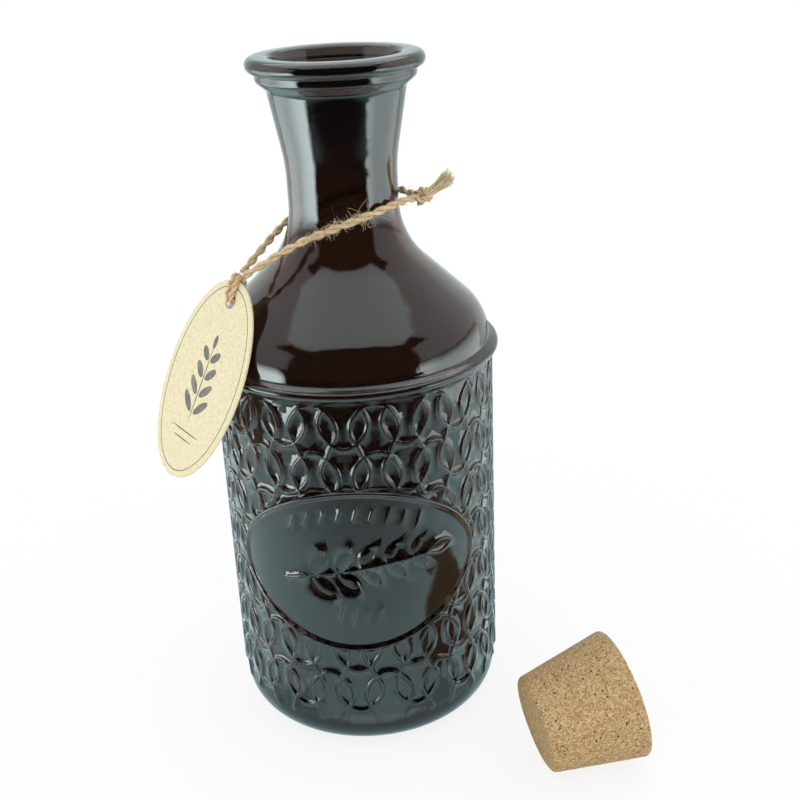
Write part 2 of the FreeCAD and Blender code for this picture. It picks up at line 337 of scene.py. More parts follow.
def rounded(corner, before, after, radius, steps=3):
    """A corner of an outline eased by a short curve."""
    here = Vector(corner)
    back = (Vector(before) - here).normalized() * radius
    ahead = (Vector(after) - here).normalized() * radius
    points = []
    for i in range(steps + 1):
        t = i / steps
        points.append(tuple(here + back * (1 - t) ** 2 + ahead * t ** 2))
    return points


def shoulder_and_neck(offset, steps):
    """Dome, cone and neck of the outside, or of the inside when the wall is the offset."""
    dome_r = SHOULDER_R - SHOULDER_ARC_R
    neck_r = NECK_R + NECK_ARC_R
    reach_r = neck_r - dome_r
    reach_z = THROAT_LOW_Z - SHOULDER_Z
    apart = math.acos((SHOULDER_ARC_R + NECK_ARC_R) / math.hypot(reach_r, reach_z))
    turn = math.atan2(reach_z, reach_r) - apart
    dome = arc_points(dome_r, SHOULDER_Z, SHOULDER_ARC_R - offset, 0, turn, steps)
    neck = arc_points(neck_r, THROAT_LOW_Z, NECK_ARC_R + offset, math.pi + turn, math.pi, steps)
    return dome + between(dome[-1], neck[0], 4) + neck


def between(a, b, parts):
    """Points that divide a straight stretch, without its ends."""
    return [tuple(Vector(a).lerp(Vector(b), i / parts)) for i in range(1, parts)]


cork_slope = (CORK_LARGE_R - CORK_SMALL_R) / CORK_LEN
flare = math.atan(cork_slope)


def lower_outline():
    """Underside, foot and heel, up to where the lattice starts."""
    foot_out = BODY_R - HEEL_R
    foot_in = foot_out - BEARING_W
    punt = [(foot_in * i / 10, PUNT_RISE * (1 - (i / 10) ** 2)) for i in range(11)]
    heel = arc_points(BODY_R - HEEL_R, HEEL_R, HEEL_R, -math.pi / 2, 0, 12)
    return punt + heel + [(BODY_R, LATTICE_LOW_Z)]


def upper_outline():
    """Ledge, shoulder, neck and rim, then down the inside to the middle of the floor."""
    under_low = (BODY_R, LEDGE_Z)
    under_top = (LEDGE_R, LEDGE_Z + LEDGE_UNDER_H)
    ledge = arc_points(LEDGE_R - LEDGE_EDGE_R, LEDGE_TOP_Z - LEDGE_EDGE_R, LEDGE_EDGE_R, 0, math.pi / 2, 6)
    shoulder_foot = (SHOULDER_R, SHOULDER_Z)
    shoulder = shoulder_and_neck(0.0, 14)
    throat_top = THROAT_LOW_Z + THROAT_LEN
    bend = arc_points(NECK_R + FLARE_ARC_R, throat_top, FLARE_ARC_R, math.pi, math.pi - flare, 6)
    rim_z = BOTTLE_H - RIM_TUBE_R
    collar_top = (COLLAR_R, rim_z - RIM_TUBE_R)
    collar_low = (COLLAR_R, collar_top[1] - COLLAR_H)
    taper_z = collar_low[1] - COLLAR_TAPER_H
    taper_low = (bend[-1][0] + (taper_z - bend[-1][1]) * cork_slope, taper_z)
    rim = arc_points(RIM_R - RIM_TUBE_R, rim_z, RIM_TUBE_R, RIM_ROOT_TURN - math.pi / 2, math.pi / 2, 12)
    mouth_r = CORK_LARGE_R - CORK_PROUD * cork_slope + CORK_SEAT_GAP
    mouth = (mouth_r, BOTTLE_H)
    inner_low = (mouth_r - SEAT_LEN * cork_slope, BOTTLE_H - SEAT_LEN)

    points = [(BODY_R, LATTICE_TOP_Z)]
    points += rounded(under_low, points[-1], under_top, LEDGE_ROOT_EASE)
    points += rounded(under_top, under_low, ledge[0], LEDGE_UNDER_EASE)
    points += ledge
    points += rounded(shoulder_foot, ledge[-1], shoulder[1], SHOULDER_FOOT_EASE)
    points += shoulder[1:]
    points += between(shoulder[-1], bend[0], 3)
    points += bend
    points += between(bend[-1], taper_low, 6)
    points += rounded(taper_low, bend[-1], collar_low, TAPER_EASE)
    points += rounded(collar_low, taper_low, collar_top, COLLAR_EASE)
    points += rounded(collar_top, collar_low, rim[0], RIM_ROOT_EASE)
    points += rim
    points += rounded(mouth, rim[-1], inner_low, MOUTH_EASE, 5)
    points += inside_outline(inner_low)
    return points


def inside_outline(top):
    """Inside of the neck, shoulder, body and floor, from the mouth down."""
    throat_r = NECK_R - WALL
    throat_top = THROAT_LOW_Z + THROAT_LEN
    seat_low = (throat_r + SEAT_FOOT_STEP, throat_top + SEAT_FOOT_UP)
    body_r = BODY_R - WALL
    shoulder = shoulder_and_neck(WALL, 10)
    shoulder.reverse()
    heel = arc_points(body_r - INNER_HEEL_R, BASE_THICK + INNER_HEEL_R, INNER_HEEL_R, 0, -math.pi / 2, 8)
    points = [top] + between(top, seat_low, 5) + [seat_low, (throat_r, throat_top)]
    points += shoulder + between(shoulder[-1], heel[0], 8) + heel
    points += between(heel[-1], (0, BASE_THICK), 5) + [(0, BASE_THICK)]
    return points


def spin_outline(bm, points):
    """Turn an outline about the bottle's axis."""
    verts = []
    edges = []
    for r, z in points:
        turned = math.pi / AROUND_STEPS
        verts.append(bm.verts.new((r * math.sin(turned), -r * math.cos(turned), z)))
        if len(verts) > 1:
            edges.append(bm.edges.new(verts[-2:]))
    bmesh.ops.spin(
        bm, geom=verts + edges, cent=(0, 0, 0), axis=(0, 0, 1),
        angle=FULL_TURN, steps=AROUND_STEPS, use_merge=True,
    )


# Lattice, worked out on the unrolled body: s runs round it from the panel's middle, z runs up

def panel_depth(s, z):
    """About how far a point lies inside the oval panel's outline, negative outside it."""
    angle = s / BODY_R
    if abs(angle) > math.pi / 2:
        return -BODY_R
    x = BODY_R * math.sin(angle)
    rise = z - PANEL_Z
    outline = (x / PANEL_HALF_W) ** 2 + (rise / PANEL_HALF_H) ** 2
    slope_x = x * math.cos(angle) / PANEL_HALF_W ** 2
    slope_z = rise / PANEL_HALF_H ** 2
    return (1 - outline) / max(2 * math.hypot(slope_x, slope_z), 0.02)


def panel_loop(depth, steps):
    """The panel's outline, drawn in by a depth."""
    half_w = PANEL_HALF_W - depth
    half_h = PANEL_HALF_H - depth
    loop = []
    for i in range(steps):
        angle = FULL_TURN * i / steps
        s = BODY_R * math.asin(half_w * math.cos(angle) / BODY_R)
        loop.append((s, PANEL_Z + half_h * math.sin(angle)))
    return loop


def curve_between(a, b, bulge_s, bulge_z, step):
    """A shallow curve from a to b that bulges by the given amounts at its middle."""
    parts = max(3, round(math.dist(a, b) * 1.08 / step))
    points = []
    for i in range(parts + 1):
        t = i / parts
        swell = 4 * t * (1 - t)
        s = a[0] + (b[0] - a[0]) * t + bulge_s * swell
        z = a[1] + (b[1] - a[1]) * t + bulge_z * swell
        points.append((s, z))
    return points


def lattice_ribs(step):
    """Centre lines of all the ribs, with a column spare at both ends."""
    pitch = FULL_TURN * BODY_R / LATTICE_COLUMNS
    half = LATTICE_COLUMNS // 2
    ribs = []
    for column in range(-half - 2, half + 2):
        lean = OVAL_LEAN if column % 2 == 0 else -OVAL_LEAN
        s = BODY_R * LATTICE_START + column * pitch
        for row in range(LATTICE_ROWS):
            low = (s - lean, ROW_LOW_Z + row * ROW_PITCH)
            top = (s + lean, low[1] + OVAL_TALL)
            ribs.append(curve_between(low, top, OVAL_BULGE, 0, step))
            ribs.append(curve_between(low, top, -OVAL_BULGE, 0, step))
            if column % 2 == 0:
                ribs.append(curve_between(top, (s + pitch - lean, top[1]), 0, BAR_ARCH, step))
            else:
                ribs.append(curve_between(low, (s + pitch + lean, low[1]), 0, -BAR_ARCH, step))
            leg_low = (s + lean, low[1] - (ROW_PITCH - OVAL_TALL))
            if row == 0:
                leg_low = (s + lean, LEG_FREE_Z)
            ribs.append(curve_between(leg_low, low, 0, 0, step))
    return ribs


def panel_sprig(step):
    """Centre lines of the sprig: a stem, leaves in pairs and one at the tip."""
    stem_low = (-SPRIG_HALF_LEN, PANEL_Z - SPRIG_HALF_LEN * SPRIG_SLOPE)
    stem_top = (SPRIG_HALF_LEN, PANEL_Z + SPRIG_HALF_LEN * SPRIG_SLOPE)
    stem = curve_between(stem_low, stem_top, 0, STEM_BOW, step)
    heading = math.atan(SPRIG_SLOPE)
    lines = [stem]
    leaves = [(stem[-1], heading, LEAF_TIP_SIZE)]
    for pair in range(SPRIG_PAIRS):
        share = LEAF_FIRST + LEAF_SPAN * pair / (SPRIG_PAIRS - 1)
        foot = stem[round(share * (len(stem) - 1))]
        size = LEAF_FOOT_SIZE - LEAF_SHRINK * share
        leaves.append((foot, heading + LEAF_TURN, size))
        leaves.append((foot, heading - LEAF_TURN, size))
    for foot, turn, size in leaves:
        ahead = (math.cos(turn), math.sin(turn))
        tip = (foot[0] + ahead[0] * LEAF_LEN * size, foot[1] + ahead[1] * LEAF_LEN * size)
        swell = LEAF_HALF_W * size
        lines.append(curve_between(foot, tip, -ahead[1] * swell, ahead[0] * swell, step))
        lines.append(curve_between(foot, tip, ahead[1] * swell, -ahead[0] * swell, step))
    for count, half_span, rise, arch in (SEED_ARC, SEED_ROW):
        for i in range(count):
            share = 2 * i / (count - 1) - 1
            low = (half_span * share, PANEL_Z + rise + arch * (1 - share ** 2))
            lines.append(curve_between(low, (low[0] + SEED_LEN * SEED_SLANT, low[1] + SEED_LEN), 0, 0, step))
    return lines


def beside(points, offset):
    """The points moved sideways from their line."""
    moved = []
    last = len(points) - 1
    for i, point in enumerate(points):
        ahead = Vector(points[min(i + 1, last)]) - Vector(points[max(i - 1, 0)])
        ahead.normalize()
        moved.append((point[0] - ahead.y * offset, point[1] + ahead.x * offset))
    return moved


class Relief:
    """Height of the lattice and the panel over the plain body."""

    def __init__(self):
        self.ribs = self.find_near(lattice_ribs(FINE_STEP))
        self.sprig = self.find_near(panel_sprig(FINE_STEP))

    def find_near(self, lines):
        points = [p for line in lines for p in line]
        tree = kdtree.KDTree(len(points))
        for i, (s, z) in enumerate(points):
            tree.insert((s, z, 0), i)
        tree.balance()
        return tree

    def to_rib(self, s, z):
        return self.ribs.find((s, z, 0))[2]

    def to_sprig(self, s, z):
        return self.sprig.find((s, z, 0))[2]

    def height(self, s, z):
        share = min(self.to_rib(s, z) / RIB_HALF_W, 1.0)
        rib = RIB_RISE * (1 - share ** 2) ** RIB_ROUND
        low_fade = min(max((z - LATTICE_LOW_Z) / LOW_FADE, 0), 1)
        top_fade = min(max((LATTICE_TOP_Z - z) / TOP_FADE, 0), 1)
        depth = panel_depth(s, z)
        edge = min(max(depth / PANEL_EDGE_W, 0), 1)
        inward = min(max((depth - PANEL_EDGE_W) / BORDER_W, 0), 1)
        border = BORDER_RISE * (1 + math.cos(inward * math.pi)) / 2
        pad = (PANEL_RISE + border) * (1 - (1 - edge) ** 2)
        if depth > PANEL_EDGE_W * 0.3:
            rib = 0
        if inward == 1:
            leaf_share = min(self.to_sprig(s, z) / SPRIG_HALF_W, 1.0)
            pad += SPRIG_RISE * (1 - leaf_share ** 2) ** RIB_ROUND
        return max(rib * low_fade * top_fade, pad)

    def normal(self, s, z):
        reach = SLOPE_REACH
        slope_s = (self.height(s + reach, z) - self.height(s - reach, z)) / (2 * reach)
        slope_z = (self.height(s, z + reach) - self.height(s, z - reach)) / (2 * reach)
        angle = s / BODY_R + PANEL_TURN
        out = Vector((math.sin(angle), -math.cos(angle), 0))
        along = Vector((math.cos(angle), math.sin(angle), 0))
        return (out - along * slope_s - Vector((0, 0, slope_z))).normalized()


def lattice_lines(relief):
    """Points and lines that the relief's mesh has to keep."""
    half_around = math.pi * BODY_R
    points = []
    lines = []

    def add_line(line, closed=False):
        kept = [None if p is None else len(points) + i for i, p in enumerate(line)]
        points.extend((0, 0) if p is None else p for p in line)
        pairs = zip(kept, kept[1:] + kept[:1]) if closed else zip(kept, kept[1:])
        lines.extend((a, b) for a, b in pairs if a is not None and b is not None)

    def outside_panel(p, margin):
        return abs(p[0]) < half_around + 3 and panel_depth(*p) < -margin

    for rib in lattice_ribs(RIB_STEP):
        for offset in (0, RIB_HALF_W * 0.5, -RIB_HALF_W * 0.5, RIB_HALF_W, -RIB_HALF_W):
            line = []
            for p in beside(rib, offset):
                clear = outside_panel(p, RIB_PANEL_GAP)
                if offset != 0:
                    clear = clear and relief.to_rib(*p) > abs(offset) * OVERLAP_SHARE
                inside = LATTICE_LOW_Z + 0.4 < p[1] < LATTICE_TOP_Z - 0.3
                line.append(p if clear and inside else None)
            add_line(line)
    for depth in PANEL_EDGE_LOOPS:
        add_line(panel_loop(depth, 150), closed=True)
    for depth in range(5, 31, 4):
        loop = panel_loop(depth, 100 - 2 * depth)
        points.extend(p for p in loop if relief.to_sprig(*p) > SPRIG_HALF_W + 0.5)
    for leaf in panel_sprig(RIB_STEP):
        for offset in (0, SPRIG_HALF_W * 0.5, -SPRIG_HALF_W * 0.5, SPRIG_HALF_W, -SPRIG_HALF_W):
            line = []
            for p in beside(leaf, offset):
                clear = offset == 0 or relief.to_sprig(*p) > abs(offset) * OVERLAP_SHARE
                line.append(p if clear else None)
            add_line(line)
    around = [half_around * (2 * i / AROUND_STEPS - 1) for i in range(AROUND_STEPS + 1)]
    add_line([(s, LATTICE_LOW_Z) for s in around])
    add_line([(s, LATTICE_TOP_Z) for s in around])
    seam_parts = round((LATTICE_TOP_Z - LATTICE_LOW_Z) / SEAM_STEP)
    seam = [LATTICE_LOW_Z + (LATTICE_TOP_Z - LATTICE_LOW_Z) * i / seam_parts for i in range(seam_parts + 1)]
    add_line([(-half_around, z) for z in seam])
    add_line([(half_around, z) for z in seam])
    s = -half_around + FIELD_STEP
    while s < half_around - FIELD_STEP / 2:
        z = LATTICE_LOW_Z + FIELD_STEP / 2
        while z < LATTICE_TOP_Z - 1:
            if outside_panel((s, z), FIELD_PANEL_GAP) and relief.to_rib(s, z) > RIB_HALF_W + FIELD_RIB_GAP:
                points.append((s, z))
            z += FIELD_STEP
        s += FIELD_STEP
    return points, lines


def lattice_shell(bm, relief):
    """Mesh of the embossed body, wrapped round the bottle."""
    points, lines = lattice_lines(relief)
    used = sorted({i for line in lines for i in line} | {i for i, p in enumerate(points) if p != (0, 0)})
    place = {old: new for new, old in enumerate(used)}
    flat = [Vector(points[i]) for i in used]
    kept = [(place[a], place[b]) for a, b in lines]
    out_points, _, out_faces, _, _, _ = delaunay_2d_cdt(flat, kept, [], 0, 0.02)
    half_around = math.pi * BODY_R + 0.001
    kept_normal = bm.verts.layers.float_vector.new("relief_normal")
    verts = []
    for p in out_points:
        s = p.x
        z = p.y
        r = BODY_R + relief.height(s, z)
        angle = s / BODY_R + PANEL_TURN
        vert = bm.verts.new((r * math.sin(angle), -r * math.cos(angle), z))
        vert[kept_normal] = relief.normal(s, z)
        verts.append(vert)
    for face in out_faces:
        middle_s = sum(out_points[i].x for i in face) / len(face)
        middle_z = sum(out_points[i].y for i in face) / len(face)
        if abs(middle_s) < half_around and LATTICE_LOW_Z < middle_z < LATTICE_TOP_Z:
            bm.faces.new([verts[i] for i in face])
    loose = [v for v in verts if not v.link_faces]
    bmesh.ops.delete(bm, geom=loose, context="VERTS")


def glass_bottle(material):
    """The bottle as one closed shell: embossed body, turned foot, neck and inside."""
    relief = Relief()
    bm = bmesh.new()
    lattice_shell(bm, relief)
    embossed = set(bm.verts)
    spin_outline(bm, lower_outline())
    spin_outline(bm, upper_outline())
    new = [v for v in bm.verts if v not in embossed]
    shift = PANEL_TURN - math.pi / AROUND_STEPS
    bmesh.ops.rotate(bm, verts=new, cent=(0, 0, 0), matrix=Matrix.Rotation(shift, 3, "Z"))
    bmesh.ops.remove_doubles(bm, verts=bm.verts, dist=0.02)
    bmesh.ops.dissolve_degenerate(bm, edges=bm.edges, dist=0.001)
    bmesh.ops.recalc_face_normals(bm, faces=bm.faces)
    bmesh.ops.scale(bm, vec=(MM, MM, MM), verts=bm.verts)
    piece = add_piece("bottle_glass", bm, material, "bottle")
    values = [tuple(d.vector) for d in piece.data.attributes["relief_normal"].data]
    low = (LATTICE_LOW_Z + 0.1) * MM
    top = (LATTICE_TOP_Z - 0.1) * MM
    for i, vert in enumerate(piece.data.vertices):
        if not low < vert.co.z < top or Vector(values[i]).length < 0.5:
            values[i] = (0, 0, 0)
    piece.data.attributes.remove(piece.data.attributes["relief_normal"])
    piece.data.normals_split_custom_set_from_vertices(values)
    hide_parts("glass_bottle")
    return piece


# Materials

def new_material(name):
    """Material with its nodes, its links and its Principled shader."""
    material = bpy.data.materials.new(name)
    material.use_nodes = True
    nodes = material.node_tree.nodes
    return material, nodes, material.node_tree.links, nodes["Principled BSDF"]


def add_ramp(nodes, stops):
    """Colour ramp with the given places and colours."""
    ramp = nodes.new("ShaderNodeValToRGB")
    marks = ramp.color_ramp.elements
    while len(marks) < len(stops):
        marks.new(0.5)
    for mark, (place, colour) in zip(marks, stops):
        mark.position = place
        mark.color = (*colour, 1)
    return ramp


def mottle_group():
    """Coarse and fine mottling of a natural material, as a mask and as a height."""
    group = bpy.data.node_groups.new("natural_mottle", "ShaderNodeTree")
    face = group.interface
    face.new_socket("Coarse Scale", in_out="INPUT", socket_type="NodeSocketFloat")
    face.new_socket("Fine Scale", in_out="INPUT", socket_type="NodeSocketFloat")
    face.new_socket("Mask", in_out="OUTPUT", socket_type="NodeSocketFloat")
    face.new_socket("Height", in_out="OUTPUT", socket_type="NodeSocketFloat")
    nodes = group.nodes
    links = group.links
    given = nodes.new("NodeGroupInput")
    result = nodes.new("NodeGroupOutput")
    coords = nodes.new("ShaderNodeTexCoord")
    coarse = nodes.new("ShaderNodeTexNoise")
    coarse.inputs["Detail"].default_value = 4
    fine = nodes.new("ShaderNodeTexNoise")
    fine.inputs["Detail"].default_value = 6
    fine.inputs["Roughness"].default_value = 0.65
    mix = nodes.new("ShaderNodeMix")
    mix.inputs["Factor"].default_value = 0.45
    links.new(coords.outputs["Object"], coarse.inputs["Vector"])
    links.new(coords.outputs["Object"], fine.inputs["Vector"])
    links.new(given.outputs["Coarse Scale"], coarse.inputs["Scale"])
    links.new(given.outputs["Fine Scale"], fine.inputs["Scale"])
    links.new(coarse.outputs["Fac"], mix.inputs["A"])
    links.new(fine.outputs["Fac"], mix.inputs["B"])
    links.new(mix.outputs["Result"], result.inputs["Mask"])
    links.new(fine.outputs["Fac"], result.inputs["Height"])
    return group


mottle = mottle_group()


def add_mottle(nodes, coarse, fine):
    """Place the mottling with its scales."""
    node = nodes.new("ShaderNodeGroup")
    node.node_tree = mottle
    node.inputs["Coarse Scale"].default_value = coarse
    node.inputs["Fine Scale"].default_value = fine
    return node


def add_bump(nodes, links, height, shader, strength, distance):
    """Bump on a shader from a height."""
    bump = nodes.new("ShaderNodeBump")
    bump.inputs["Strength"].default_value = strength
    bump.inputs["Distance"].default_value = distance
    links.new(height, bump.inputs["Height"])
    links.new(bump.outputs["Normal"], shader.inputs["Normal"])


def amber_glass():
    """Very dark amber bottle glass with the faint waviness of moulding."""
    material, nodes, links, shader = new_material("amber_glass")
    place = nodes.new("ShaderNodeTexCoord")
    height = nodes.new("ShaderNodeSeparateXYZ")
    span = nodes.new("ShaderNodeMapRange")
    span.inputs["From Min"].default_value = BODY_TINT_Z
    span.inputs["From Max"].default_value = NECK_TINT_Z
    tint = add_ramp(nodes, [(0.0, BODY_TINT), (0.2, SHOULDER_TINT), (0.6, SHOULDER_TINT), (1.0, NECK_TINT)])
    links.new(place.outputs["Object"], height.inputs["Vector"])
    links.new(height.outputs["Z"], span.inputs["Value"])
    links.new(span.outputs["Result"], tint.inputs["Fac"])
    links.new(tint.outputs["Color"], shader.inputs["Base Color"])
    shader.inputs["Roughness"].default_value = 0.015
    shader.inputs["IOR"].default_value = 1.52
    shader.inputs["Transmission Weight"].default_value = 1.0
    waves = add_mottle(nodes, 60, 140)
    add_bump(nodes, links, waves.outputs["Mask"], shader, 0.12, 0.002)
    return material


def jute_twine(name, dark, middle, light):
    """Dull plant fibre with darker and lighter mottling."""
    material, nodes, links, shader = new_material(name)
    shader.inputs["Roughness"].default_value = 0.85
    shader.inputs["Sheen Weight"].default_value = 0.15
    marks = add_mottle(nodes, 700, 3200)
    ramp = add_ramp(nodes, [(0.36, dark), (0.5, middle), (0.66, light)])
    links.new(marks.outputs["Mask"], ramp.inputs["Fac"])
    links.new(ramp.outputs["Color"], shader.inputs["Base Color"])
    add_bump(nodes, links, marks.outputs["Height"], shader, 0.5, 0.0003)
    return material


def granulated_cork():
    """Pressed cork granules with dark bark specks."""
    material, nodes, links, shader = new_material("granulated_cork")
    shader.inputs["Roughness"].default_value = 0.9
    shader.inputs["Specular IOR Level"].default_value = 0.2
    coords = nodes.new("ShaderNodeTexCoord")
    grains = nodes.new("ShaderNodeTexVoronoi")
    grains.inputs["Scale"].default_value = 1900
    specks = nodes.new("ShaderNodeTexNoise")
    specks.inputs["Scale"].default_value = 1500
    specks.inputs["Detail"].default_value = 2
    bark = nodes.new("ShaderNodeTexVoronoi")
    bark.inputs["Scale"].default_value = 400
    for node in (grains, specks, bark):
        links.new(coords.outputs["Object"], node.inputs["Vector"])
    tones = add_ramp(nodes, [
        (0.0, (0.36, 0.22, 0.10)),
        (0.25, (0.47, 0.31, 0.145)),
        (0.65, (0.57, 0.40, 0.195)),
        (1.0, (0.70, 0.52, 0.29)),
    ])
    split = nodes.new("ShaderNodeSeparateColor")
    links.new(grains.outputs["Color"], split.inputs["Color"])
    links.new(split.outputs["Red"], tones.inputs["Fac"])
    speck_mask = add_ramp(nodes, [(0.55, (0, 0, 0)), (0.66, (0.85, 0.85, 0.85))])
    links.new(specks.outputs["Fac"], speck_mask.inputs["Fac"])
    darker = nodes.new("ShaderNodeMix")
    darker.data_type = "RGBA"
    darker.inputs["B"].default_value = (0.22, 0.125, 0.05, 1)
    links.new(speck_mask.outputs["Color"], darker.inputs["Factor"])
    links.new(tones.outputs["Color"], darker.inputs["A"])
    bark_mask = add_ramp(nodes, [(0.11, (1, 1, 1)), (0.19, (0, 0, 0))])
    links.new(bark.outputs["Distance"], bark_mask.inputs["Fac"])
    spotted = nodes.new("ShaderNodeMix")
    spotted.data_type = "RGBA"
    spotted.inputs["B"].default_value = (0.06, 0.035, 0.02, 1)
    links.new(bark_mask.outputs["Color"], spotted.inputs["Factor"])
    links.new(darker.outputs["Result"], spotted.inputs["A"])
    links.new(spotted.outputs["Result"], shader.inputs["Base Color"])
    add_bump(nodes, links, grains.outputs["Distance"], shader, 0.45, 0.0004)
    return material


def kraft_card():
    """Pale card with short fibres pressed into it."""
    material, nodes, links, shader = new_material("kraft_card")
    shader.inputs["Roughness"].default_value = 0.8
    shader.inputs["Specular IOR Level"].default_value = 0.25
    pulp = add_mottle(nodes, 900, 2600)
    ramp = add_ramp(nodes, [
        (0.30, (0.60, 0.50, 0.29)),
        (0.44, (0.80, 0.72, 0.46)),
        (0.62, (0.90, 0.83, 0.57)),
    ])
    links.new(pulp.outputs["Mask"], ramp.inputs["Fac"])
    links.new(ramp.outputs["Color"], shader.inputs["Base Color"])
    add_bump(nodes, links, pulp.outputs["Height"], shader, 0.25, 0.0002)
    return material


def tag_ink():
    """Soft grey printing ink, thin enough to let the card through."""
    material, nodes, links, shader = new_material("tag_ink")
    shader.inputs["Roughness"].default_value = 0.75
    pulp = add_mottle(nodes, 400, 2400)
    ramp = add_ramp(nodes, [(0.40, (0.10, 0.095, 0.09)), (0.66, (0.30, 0.28, 0.24))])
    links.new(pulp.outputs["Mask"], ramp.inputs["Fac"])
    links.new(ramp.outputs["Color"], shader.inputs["Base Color"])
    return material


# Twine

def route_line(route):
    """Points along a route's smooth line, read from its spline."""
    curve = bpy.data.curves.new("route", "CURVE")
    curve.dimensions = "3D"
    curve.resolution_u = 24
    spline = curve.splines.new("NURBS")
    spline.points.add(len(route) - 1)
    for point, place in zip(spline.points, route):
        point.co = (*place, 1)
    spline.order_u = 3
    spline.use_endpoint_u = True
    spline.resolution_u = 24
    holder = bpy.data.objects.new("route", curve)
    mesh = bpy.data.meshes.new_from_object(holder)
    points = [v.co.copy() for v in mesh.vertices]
    bpy.data.objects.remove(holder)
    bpy.data.meshes.remove(mesh)
    return points


def even_line(points, step):
    """The same line with its points spaced evenly."""
    total = sum((b - a).length for a, b in zip(points, points[1:]))
    parts = max(2, round(total / step))
    spacing = total / parts
    line = [points[0].copy()]
    travelled = 0.0
    for a, b in zip(points, points[1:]):
        run = (b - a).length
        while travelled + run >= spacing * len(line) - 1e-9 and len(line) < parts:
            line.append(a.lerp(b, (spacing * len(line) - travelled) / run))
        travelled += run
    line.append(points[-1].copy())
    return line


def line_frames(line):
    """At each point of a line, the point, its direction and two directions across it."""
    frames = []
    last = len(line) - 1
    side = None
    for i, point in enumerate(line):
        ahead = (line[min(i + 1, last)] - line[max(i - 1, 0)]).normalized()
        if side is None:
            side = ahead.orthogonal().normalized()
        side = (side - ahead * side.dot(ahead)).normalized()
        frames.append((point, ahead, side, ahead.cross(side)))
    return frames


def ply_lines(line, diameter, pitch, turn=0.0):
    """Yarns of a two-ply twine: each ply winds round the line, its yarns wind the other way."""
    frames = line_frames(line)
    spacing = (line[1] - line[0]).length
    lines = []
    for ply in range(2):
        for yarn in range(YARNS):
            points = []
            for i, (point, ahead, side, up) in enumerate(frames):
                along = i * spacing
                wind = FULL_TURN * (along / pitch + ply / 2) + turn
                counter = FULL_TURN * (yarn / YARNS - along / (pitch * YARN_PITCH_SHARE))
                reach = diameter * PLY_REACH
                wander = YARN_WANDER * noise.noise(point * 400 + Vector((yarn, ply, 0)))
                small = diameter * (YARN_REACH + wander)
                across = side * math.cos(wind) + up * math.sin(wind)
                yarn_across = side * math.cos(counter) + up * math.sin(counter)
                points.append(point + across * reach + yarn_across * small)
            lines.append(points)
    return lines


def lines_mesh(name, lines, radius, taper=1.0):
    """Mesh of thin round strands along lines of points."""
    curve = bpy.data.curves.new(name, "CURVE")
    curve.dimensions = "3D"
    curve.bevel_depth = radius
    curve.bevel_resolution = 1
    curve.use_fill_caps = True
    for points in lines:
        spline = curve.splines.new("POLY")
        spline.points.add(len(points) - 1)
        for i, (mark, place) in enumerate(zip(spline.points, points)):
            mark.co = (*place, 1)
            mark.radius = 1 + (taper - 1) * i / (len(points) - 1)
    holder = bpy.data.objects.new(name, curve)
    mesh = bpy.data.meshes.new_from_object(holder)
    bpy.data.objects.remove(holder)
    return mesh


def mesh_piece(name, mesh, material, body):
    """A finished mesh as a piece that rides on a body."""
    bm = bmesh.new()
    bm.from_mesh(mesh)
    bpy.data.meshes.remove(mesh)
    return add_piece(name, bm, material, body)


def twine_hairs(line, count, low, high, start, end, reach):
    """Loose fibres that leave the twine between two shares of its length."""
    frames = line_frames(line)
    hairs = []
    for _ in range(count):
        share = chance.uniform(start, end)
        point, ahead, side, up = frames[round(share * (len(frames) - 1))]
        angle = chance.uniform(0, FULL_TURN)
        out = side * math.cos(angle) + up * math.sin(angle)
        way = ahead * chance.choice((-1, 1)) * chance.uniform(0.3, 1.2) + out * chance.uniform(0.25, 1.0)
        way.normalize()
        length = chance.uniform(low, high) * MM
        bend = Vector((chance.uniform(-1, 1), chance.uniform(-1, 1), chance.uniform(-1, 1)))
        place = point + out * reach
        hair = [place.copy()]
        for i in range(HAIR_STEPS):
            way = (way + bend * (HAIR_CURL / HAIR_STEPS)).normalized()
            place = place + way * length / HAIR_STEPS
            hair.append(place.copy())
        hairs.append(hair)
    return hairs


def knot_line():
    """Line of an overhand knot drawn tight round its axis."""
    across = KNOT_AXIS.orthogonal().normalized()
    over = KNOT_AXIS.cross(across)
    points = []
    for i in range(97):
        t = FULL_TURN * i / 96
        x = (math.sin(t) + 2 * math.sin(2 * t)) / 3
        y = (math.cos(t) - 2 * math.cos(2 * t)) / 3
        z = -math.sin(3 * t)
        round_axis = (across * x + over * y) * KNOT_HALF_W * MM
        points.append(KNOT_AT + round_axis + KNOT_AXIS * z * KNOT_HALF_LEN * MM)
    return points


def tassel_lines():
    """Frayed fibres that fan out beyond the knot."""
    start = KNOT_AT + KNOT_AXIS * FIBRE_FOOT * MM
    across = TASSEL_AXIS.orthogonal().normalized()
    over = TASSEL_AXIS.cross(across)
    lines = []
    for _ in range(FIBRE_COUNT):
        angle = chance.uniform(0, FULL_TURN)
        spread = math.sqrt(chance.random())
        out = across * math.cos(angle) + over * math.sin(angle)
        length = chance.uniform(FIBRE_SHORT, FIBRE_LONG) * MM
        curl = Vector((chance.uniform(-1, 1), chance.uniform(-1, 1), chance.uniform(-1, 1))) * 0.7 * MM
        line = []
        for i in range(FIBRE_STEPS + 1):
            t = i / FIBRE_STEPS
            width = (1.5 + 1.3 * t * t) * spread * MM
            line.append(start + TASSEL_AXIS * length * t + out * width + curl * t * t)
        lines.append(line)
    return lines


